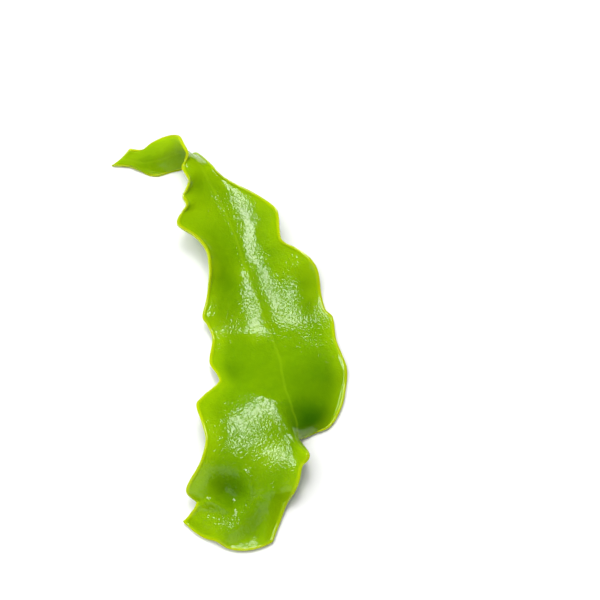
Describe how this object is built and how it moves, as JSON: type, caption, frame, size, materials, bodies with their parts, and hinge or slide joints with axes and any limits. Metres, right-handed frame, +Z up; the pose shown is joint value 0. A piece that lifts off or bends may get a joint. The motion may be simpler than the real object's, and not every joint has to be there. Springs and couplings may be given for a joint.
{
  "type": "kelp frond",
  "caption": "One long ruffled kelp blade, cut and lying down, with a half turn at its narrow end that shows the underside.",
  "frame": {"origin": "the middle of the frond's box, on the surface that it lies on", "axes": "+Z up; +Y along the blade, from the wide cut end to the turned flap; +X towards the wide lobe"},
  "size_m": [0.0862, 0.156, 0.0164],
  "materials": {
    "kelp": "wet, glossy, finely wrinkled, slightly translucent green"
  },
  "bodies": {
    "root": {"frond": "kelp"}
  },
  "joints": []
}
